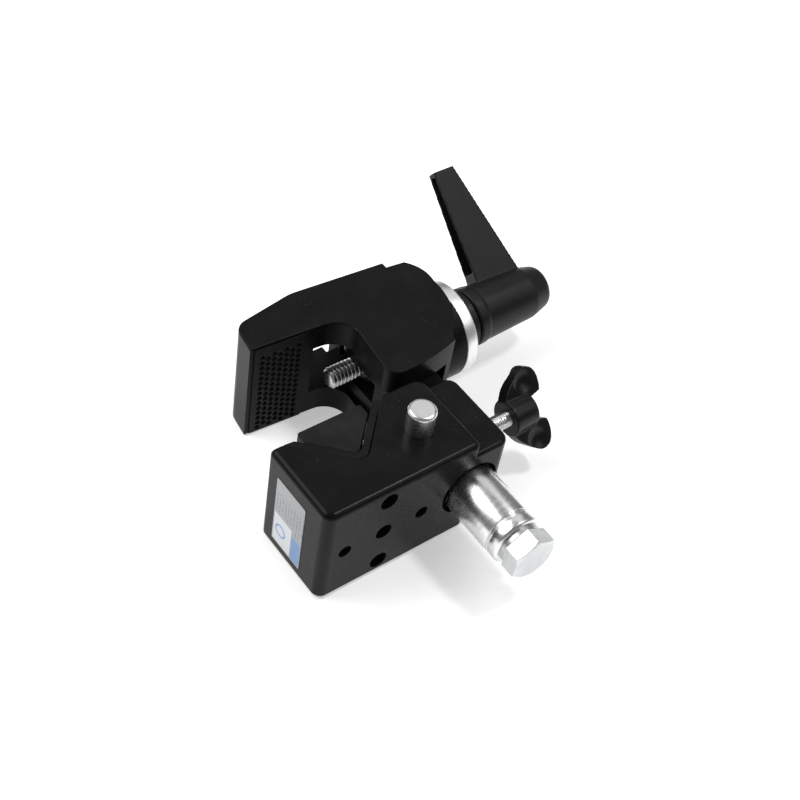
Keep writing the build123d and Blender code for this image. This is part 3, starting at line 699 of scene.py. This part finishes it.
def dimple_tree():
    """A pad's face: a fine grid with staggered dimples pressed into it, below a plain band."""
    tree, start, end = geometry_tree(
        "dimpled_face",
        [("Width", "NodeSocketFloat", 0.017), ("Height", "NodeSocketFloat", 0.035),
         ("Centre X", "NodeSocketFloat", 0.0), ("Centre Y", "NodeSocketFloat", 0.0),
         ("Centre Z", "NodeSocketFloat", 0.0), ("Slope", "NodeSocketFloat", 0.0),
         ("Column pitch", "NodeSocketFloat", 0.0025), ("Row pitch", "NodeSocketFloat", 0.0026),
         ("Radius", "NodeSocketFloat", 0.0009), ("Depth", "NodeSocketFloat", 0.0006),
         ("Half span X", "NodeSocketFloat", 0.007), ("Low row", "NodeSocketFloat", -0.016),
         ("High row", "NodeSocketFloat", 0.012), ("Material", "NodeSocketMaterial", None)],
    )
    given = start.outputs
    grid = tree.nodes.new("GeometryNodeMeshGrid")
    tree.links.new(given["Width"], grid.inputs["Size X"])
    tree.links.new(given["Height"], grid.inputs["Size Y"])
    grid.inputs["Vertices X"].default_value = 103
    grid.inputs["Vertices Y"].default_value = 209
    split = tree.nodes.new("ShaderNodeSeparateXYZ")
    tree.links.new(tree.nodes.new("GeometryNodeInputPosition").outputs[0], split.inputs[0])
    u, v = split.outputs[0], split.outputs[1]
    column = maths(tree, "ROUND", maths(tree, "DIVIDE", u, given["Column pitch"]))
    du = maths(tree, "SUBTRACT", u, maths(tree, "MULTIPLY", column, given["Column pitch"]))
    odd = maths(tree, "ABSOLUTE", maths(tree, "MODULO", column, 2.0))
    half_row = maths(tree, "MULTIPLY", maths(tree, "MULTIPLY", odd, 0.5), given["Row pitch"])
    shifted = maths(tree, "ADD", v, half_row)
    row = maths(tree, "ROUND", maths(tree, "DIVIDE", shifted, given["Row pitch"]))
    dv = maths(tree, "SUBTRACT", shifted, maths(tree, "MULTIPLY", row, given["Row pitch"]))
    reach = maths(tree, "SQRT", maths(tree, "ADD", maths(tree, "MULTIPLY", du, du),
                                      maths(tree, "MULTIPLY", dv, dv)))
    inner = maths(tree, "MULTIPLY", given["Radius"], 0.55)
    pressed = ramp_of(tree, reach, inner, given["Radius"], 1.0, 0.0)
    centre_v = maths(tree, "SUBTRACT", v, dv)
    centre_u = maths(tree, "SUBTRACT", u, du)
    inside = maths(tree, "MULTIPLY", maths(tree, "GREATER_THAN", centre_v, given["Low row"]),
                   maths(tree, "LESS_THAN", centre_v, given["High row"]))
    inside = maths(tree, "MULTIPLY", inside,
                   maths(tree, "LESS_THAN", maths(tree, "ABSOLUTE", centre_u), given["Half span X"]))
    depth = maths(tree, "MULTIPLY", maths(tree, "MULTIPLY", pressed, inside), given["Depth"])
    level = maths(tree, "ADD", given["Centre Y"], maths(tree, "MULTIPLY", u, given["Slope"]))
    joined = tree.nodes.new("ShaderNodeCombineXYZ")
    tree.links.new(maths(tree, "ADD", u, given["Centre X"]), joined.inputs[0])
    tree.links.new(maths(tree, "ADD", level, depth), joined.inputs[1])
    tree.links.new(maths(tree, "ADD", v, given["Centre Z"]), joined.inputs[2])
    placed = tree.nodes.new("GeometryNodeSetPosition")
    tree.links.new(grid.outputs["Mesh"], placed.inputs["Geometry"])
    tree.links.new(joined.outputs[0], placed.inputs["Position"])
    end_tree(tree, placed.outputs[0], given["Material"], end)
    return tree


def grown(tree, values, name):
    """Runs a geometry tree with its inputs set, and returns the plain mesh it makes."""
    carrier = bpy.data.objects.new(name, bpy.data.meshes.new(name))
    bpy.context.scene.collection.objects.link(carrier)
    nodes = carrier.modifiers.new("grown", "NODES")
    nodes.node_group = tree
    ids = socket_ids(tree)
    for label, value in values.items():
        nodes[ids[label]] = value
    bpy.context.view_layer.update()
    mesh = bpy.data.meshes.new_from_object(
        carrier.evaluated_get(bpy.context.evaluated_depsgraph_get())
    )
    carrier.modifiers.remove(nodes)
    bpy.data.objects.remove(carrier)
    return mesh


def thread_mesh(start, length, axis_y, crest, pitch, name, taper=0.0008):
    """A closed threaded rod along X, with its sizes in metres."""
    settings = bpy.context.scene.clamp_threads
    rows = int(ceil(length / pitch * 16)) + 1
    mesh = grown(
        thread_tree(),
        {"Start": start, "Length": length, "Axis Y": axis_y, "Crest radius": crest,
         "Depth": settings.depth * pitch, "Pitch": pitch, "Tip taper": taper,
         "Rows": rows, "Around": 49},
        name,
    )
    build = bmesh.new()
    build.from_mesh(mesh)
    bmesh.ops.holes_fill(build, edges=[e for e in build.edges if e.is_boundary])
    return build


def join(first, second):
    """Adds one bmesh's geometry to another."""
    spare = bpy.data.meshes.new("spare")
    bmesh.ops.recalc_face_normals(second, faces=second.faces)
    second.to_mesh(spare)
    second.free()
    first.from_mesh(spare)
    bpy.data.meshes.remove(spare)
    return first


# ---------------------------------------------------------------- pieces


class CLAMP_OT_castings(bpy.types.Operator):
    """Enamelled castings: the body and the hook, with their edges rounded"""

    bl_idname = "clamp.castings"
    bl_label = "Castings"

    def execute(self, context):
        body = put(casting_copy("lower_body"), "body_casting", "base", ["lower_body"])
        round_edges(body, 0.35)
        settle(body)
        dress(body, "enamel")
        hook = put(casting_copy("hook_jaw"), "hook_casting", "hook", ["hook_jaw"])
        round_edges(hook, 0.35)
        settle(hook)
        dress(hook, "hook_enamel")
        return {"FINISHED"}


class CLAMP_OT_linings(bpy.types.Operator):
    """Rubber liner and the removable wedge in the V"""

    bl_idname = "clamp.linings"
    bl_label = "Liner and Wedge"

    def execute(self, context):
        liner = put(shrunk(casting_copy("v_liner"), LINER_SEAM), "v_liner_strip", "base",
                    ["v_liner"])
        round_edges(liner, 0.1)
        settle(liner)
        dress(liner, "rubber")
        wedge = put(shrunk(casting_copy("wedge_insert"), WEDGE_SEAM), "wedge_block", "base",
                    ["wedge_insert"])
        round_edges(wedge, 0.5)
        settle(wedge)
        dress(wedge, "wedge")
        return {"FINISHED"}


class CLAMP_OT_pad(bpy.types.Operator):
    """Dimpled rubber pad in the hook's nose"""

    bl_idname = "clamp.pad"
    bl_label = "Hook Pad"

    def execute(self, context):
        settings = context.scene.clamp_pad
        low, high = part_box("hook_pad")
        width = high[0] - low[0]
        middle = (low[0] + high[0]) / 2
        face_y = low[1] - JAW_SLOPE * width / 2
        back_y = high[1] + JAW_SLOPE * width / 2
        mesh = grown(
            dimple_tree(),
            {"Width": width, "Height": high[2] - low[2], "Centre X": middle, "Centre Y": face_y,
             "Centre Z": (low[2] + high[2]) / 2, "Slope": JAW_SLOPE,
             "Column pitch": settings.column_pitch, "Row pitch": settings.row_pitch,
             "Radius": settings.radius, "Depth": settings.depth,
             "Half span X": PAD_HALF_SPAN * settings.column_pitch,
             "Low row": PAD_ROWS[0], "High row": PAD_ROWS[1]},
            "pad_face",
        )
        build = bmesh.new()
        build.from_mesh(mesh)
        rim = [e for e in build.edges if e.is_boundary]
        skirt = bmesh.ops.extrude_edge_only(build, edges=rim)
        lower = [v for v in skirt["geom"] if isinstance(v, bmesh.types.BMVert)]
        for vert in lower:
            vert.co.y = back_y + JAW_SLOPE * (vert.co.x - middle)
        bmesh.ops.holes_fill(build, edges=[e for e in build.edges if e.is_boundary])
        pad = put(from_bmesh(build, "hook_pad_rubber"), "hook_pad_rubber", "hook",
                  ["hook_pad"], 55)
        dress(pad, "pad")
        return {"FINISHED"}


class CLAMP_OT_spigot(bpy.types.Operator):
    """Turned spigot with its lock washer and hex bolt"""

    bl_idname = "clamp.spigot"
    bl_label = "Spigot and Bolt"

    def execute(self, context):
        low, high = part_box("spigot")
        out, deep = -low[1] / MM, high[1] / MM
        radius = high[0] / MM
        rings = [
            (-out, 0), (-out, 4.6), (-out, radius - 0.9), (-out + 0.25, radius - 0.35),
            (-out + 0.7, radius), (-out + 3.3, radius), (-out + 3.45, radius - 0.4),
            (-out + 3.75, radius - 0.4), (-out + 3.9, radius - 0.05), (-out + 4.25, radius - 0.05),
            (-out + 4.4, radius - 0.3), (-out + 4.6, radius - 0.3), (-out + 4.75, radius),
            (-0.1, radius), (0, radius - 0.05), (9.0, radius - 0.05), (9.0, 6.4), (17.4, 6.4),
            (17.4, radius - 0.05), (deep - 1, radius - 0.05), (deep, radius - 1), (deep, 0),
        ]
        post = put(from_bmesh(lathe(rounded(rings, 0.12, 2), (0, 0, 0), (0, 1, 0), 128), "spigot_post"),
                   "spigot_post", "spigot", ["spigot"], 35)
        dress(post, "spigot")
        washer = put(casting_copy("spigot_lock_washer"), "split_lock_washer", "spigot",
                     ["spigot_lock_washer"])
        round_edges(washer, 0.2)
        settle(washer)
        dress(washer, "pin_steel")
        bolt = put(casting_copy("spigot_bolt", 0.6), "hex_bolt", "spigot",
                   ["spigot_bolt"], 30)
        round_edges(bolt, 0.18, 25, 2)
        settle(bolt)
        dress(bolt, "bolt")
        return {"FINISHED"}


class CLAMP_OT_plunger(bpy.types.Operator):
    """Locking plunger with its bright button"""

    bl_idname = "clamp.plunger"
    bl_label = "Plunger"

    def execute(self, context):
        low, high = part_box("safety_pin")
        x = (low[0] + high[0]) / 2 / MM
        y = (low[1] + high[1]) / 2 / MM
        top = high[2] / MM
        radius = (high[0] - low[0]) / 2 / MM
        rings = [
            (low[2] / MM, 0), (low[2] / MM, 1.6), (-5, 1.6), (-5, radius), (1.4, radius), (1.4, 2.4),
            (9.8, 2.4), (10.8, radius), (top - 0.75, radius), (top - 0.2, radius - 0.4),
            (top, radius - 0.95), (top - 0.04, radius - 1.6), (top - 0.1, 0),
        ]
        pin = put(from_bmesh(lathe(rounded(rings, 0.22, 3), (x, y, 0), (0, 0, 1), 96), "plunger_pin"),
                  "plunger_pin", "plunger", ["safety_pin"], 35)
        dress(pin, "plunger")
        return {"FINISHED"}


class CLAMP_OT_screws(bpy.types.Operator):
    """Threaded spindle and wing screw, with real threads"""

    bl_idname = "clamp.screws"
    bl_label = "Threaded Screws"

    def execute(self, context):
        pitch = context.scene.clamp_threads.spindle_pitch
        low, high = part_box("clamp_spindle")
        radius = (high[1] - low[1]) / 2
        rod = thread_mesh(low[0], SHANK_START - low[0], SPINDLE_Y, radius, pitch, "spindle_thread")
        shank = lathe(
            [(SHANK_START / MM, 0), (SHANK_START / MM, radius / MM),
             (high[0] / MM, radius / MM), (high[0] / MM, 0)],
            (0, SPINDLE_Y / MM, 0), (1, 0, 0), 64,
        )
        spindle = put(from_bmesh(join(rod, shank), "threaded_spindle"), "threaded_spindle", "spindle",
                      ["clamp_spindle"], 75)
        dress(spindle, "spindle")
        low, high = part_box("wing_screw_stud")
        radius = (high[1] - low[1]) / 2
        stud = thread_mesh(low[0], high[0] - low[0], WING_Y, radius,
                           context.scene.clamp_threads.stud_pitch, "stud_thread", 0.0006)
        stud = put(from_bmesh(stud, "threaded_stud"), "threaded_stud", "wing_stud",
                   ["wing_screw_stud"], 75)
        dress(stud, "stud")
        return {"FINISHED"}


def melted(mesh, name, voxel, smooth):
    """Closes joined shells into one skin and softens where they meet."""
    piece = bpy.data.objects.new(name, mesh)
    bpy.context.scene.collection.objects.link(piece)
    skin = piece.modifiers.new("skin", "REMESH")
    skin.mode = "VOXEL"
    skin.voxel_size = voxel * MM
    soft = piece.modifiers.new("soft", "SMOOTH")
    soft.factor = 0.5
    soft.iterations = smooth
    settle(piece)
    result = piece.data
    bpy.data.objects.remove(piece)
    return result


class CLAMP_OT_wing_head(bpy.types.Operator):
    """Moulded wing head with rounded lobes"""

    bl_idname = "clamp.wing_head"
    bl_label = "Wing Head"

    def execute(self, context):
        mesh = melted(casting_copy("wing_screw_head", 0.1), "wing_head", 0.2, 11)
        head = put(mesh, "wing_head_moulding", "wing_head", ["wing_screw_head"], 80)
        dress(head, "wing")
        return {"FINISHED"}


class CLAMP_OT_handle(bpy.types.Operator):
    """Indexing lever, its collar and the thick washer"""

    bl_idname = "clamp.handle"
    bl_label = "Lever and Washer"

    def execute(self, context):
        mesh = melted(casting_copy("lever", 0.1), "lever_skin", 0.28, 6)
        lever = put(mesh, "lever_casting", "lever", ["lever"], 60)
        dress(lever, "satin")
        collar = put(casting_copy("handle_collar", 0.5), "splined_collar", "spindle",
                     ["handle_collar"], 35)
        round_edges(collar, 0.2)
        settle(collar)
        dress(collar, "satin")
        low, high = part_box("thrust_washer")
        left, right = low[0] / MM, high[0] / MM
        radius = (high[1] - low[1]) / 2 / MM
        rings = [(left, WASHER_BORE), (left, radius - 0.25), (left + 0.25, radius),
                 (right - 0.25, radius), (right, radius - 0.25), (right, WASHER_BORE),
                 (left, WASHER_BORE)]
        washer = put(from_bmesh(lathe(rounded(rings, 0.2, 3), (0, SPINDLE_Y / MM, 0), (1, 0, 0), 160),
                                "thick_washer"),
                     "thick_washer", "thrust", ["thrust_washer"], 35)
        dress(washer, "washer")
        return {"FINISHED"}


class CLAMP_OT_label(bpy.types.Operator):
    """Printed label on the end face, with no words"""

    bl_idname = "clamp.label"
    bl_label = "Label"

    def execute(self, context):
        label = put(casting_copy("rating_label"), "end_label", "base", ["rating_label"])
        dress(label, "label")
        return {"FINISHED"}


class CLAMP_OT_inner_steel(bpy.types.Operator):
    """Finishes of the pins, springs and the cross barrel, which keep their CAD shape"""

    bl_idname = "clamp.inner_steel"
    bl_label = "Inner Steel"

    def execute(self, context):
        for node in ("hinge_pin", "safety_pin_keeper", "collar_dowel", "lever_screw", "trunnion_nut"):
            dress(NODES[node], "pin_steel")
        for node in ("safety_pin_spring", "lever_spring"):
            dress(NODES[node], "spring")
        return {"FINISHED"}


class CLAMP_OT_stage(bpy.types.Operator):
    """Pale floor, soft light and the camera"""

    bl_idname = "clamp.stage"
    bl_label = "Stage"

    def execute(self, context):
        settings = context.scene.clamp_stage
        scene = context.scene
        scene.view_settings.view_transform = "Standard"
        level = CAD_BOX[0][2]
        build = bmesh.new()
        bmesh.ops.create_grid(build, x_segments=2, y_segments=2, size=FLOOR_SIZE)
        for vert in build.verts:
            vert.co.z = level - 0.0001
        mesh = bpy.data.meshes.new("floor")
        build.to_mesh(mesh)
        build.free()
        floor = bpy.data.objects.new("floor", mesh)
        scene.collection.objects.link(floor)
        paint = bpy.data.materials.new("floor_paint")
        paint.use_nodes = True
        shader = paint.node_tree.nodes["Principled BSDF"]
        shader.inputs["Base Color"].default_value = (*settings.floor, 1)
        shader.inputs["Roughness"].default_value = 1.0
        shader.inputs["Specular IOR Level"].default_value = 0.0
        shader.inputs["Emission Color"].default_value = (1, 1, 1, 1)
        shader.inputs["Emission Strength"].default_value = FLOOR_GLOW
        mesh.materials.append(paint)
        world = bpy.data.worlds.new("studio")
        world.use_nodes = True
        world.node_tree.nodes["Background"].inputs["Color"].default_value = (1, 1, 1, 1)
        world.node_tree.nodes["Background"].inputs["Strength"].default_value = settings.sky
        scene.world = world
        centre = Vector(LIGHTS_AIM)
        for name, place, size, share in LIGHTS:
            lamp = bpy.data.lights.new(name, "AREA")
            lamp.shape = "SQUARE"
            lamp.size = size
            lamp.energy = settings.key * share
            light = bpy.data.objects.new(name, lamp)
            light.location = place
            light.rotation_euler = (centre - Vector(place)).to_track_quat("-Z", "Y").to_euler()
            scene.collection.objects.link(light)
        lens = bpy.data.cameras.new("camera")
        lens.lens = CAMERA_LENS
        lens.sensor_width = CAMERA_SENSOR
        lens.clip_start = 0.01
        lens.clip_end = 100.0
        camera = bpy.data.objects.new("camera", lens)
        right = Vector(CAMERA_RIGHT)
        back = Vector(CAMERA_BACK).normalized()
        up = back.cross(right).normalized()
        right = up.cross(back)
        turn = Matrix((right, up, back)).transposed().to_4x4()
        camera.matrix_world = Matrix.Translation(Vector(CAMERA_PLACE)) @ turn
        scene.collection.objects.link(camera)
        scene.camera = camera
        return {"FINISHED"}


class CLAMP_PT_panel(bpy.types.Panel):
    """Lists the clamp's settings and pieces"""

    bl_idname = "CLAMP_PT_panel"
    bl_label = "Super Clamp"
    bl_space_type = "VIEW_3D"
    bl_region_type = "UI"
    bl_category = "Clamp"

    def draw(self, context):
        for group in (context.scene.clamp_coats, context.scene.clamp_threads,
                      context.scene.clamp_pad, context.scene.clamp_stage):
            box = self.layout.box()
            for label in group.bl_rna.properties.keys():
                if label not in ("rna_type", "name"):
                    box.prop(group, label)
        for piece in PIECES:
            self.layout.operator(piece.bl_idname)


PIECES = (
    CLAMP_OT_castings,
    CLAMP_OT_linings,
    CLAMP_OT_pad,
    CLAMP_OT_spigot,
    CLAMP_OT_plunger,
    CLAMP_OT_screws,
    CLAMP_OT_wing_head,
    CLAMP_OT_handle,
    CLAMP_OT_label,
    CLAMP_OT_inner_steel,
    CLAMP_OT_stage,
)
SETTINGS = {
    "clamp_coats": ClampCoatSettings,
    "clamp_threads": ClampThreadSettings,
    "clamp_pad": ClampPadSettings,
    "clamp_stage": ClampStageSettings,
}


def register():
    for group in SETTINGS.values():
        bpy.utils.register_class(group)
    for piece in PIECES:
        bpy.utils.register_class(piece)
    bpy.utils.register_class(CLAMP_PT_panel)
    for name, group in SETTINGS.items():
        setattr(bpy.types.Scene, name, bpy.props.PointerProperty(type=group))


def unregister():
    for name in SETTINGS:
        delattr(bpy.types.Scene, name)
    bpy.utils.unregister_class(CLAMP_PT_panel)
    for piece in reversed(PIECES):
        bpy.utils.unregister_class(piece)
    for group in reversed(list(SETTINGS.values())):
        bpy.utils.unregister_class(group)


def main():
    register()
    for piece in PIECES:
        module, name = piece.bl_idname.split(".")
        getattr(getattr(bpy.ops, module), name)()


if __name__ == "__main__":
    main()
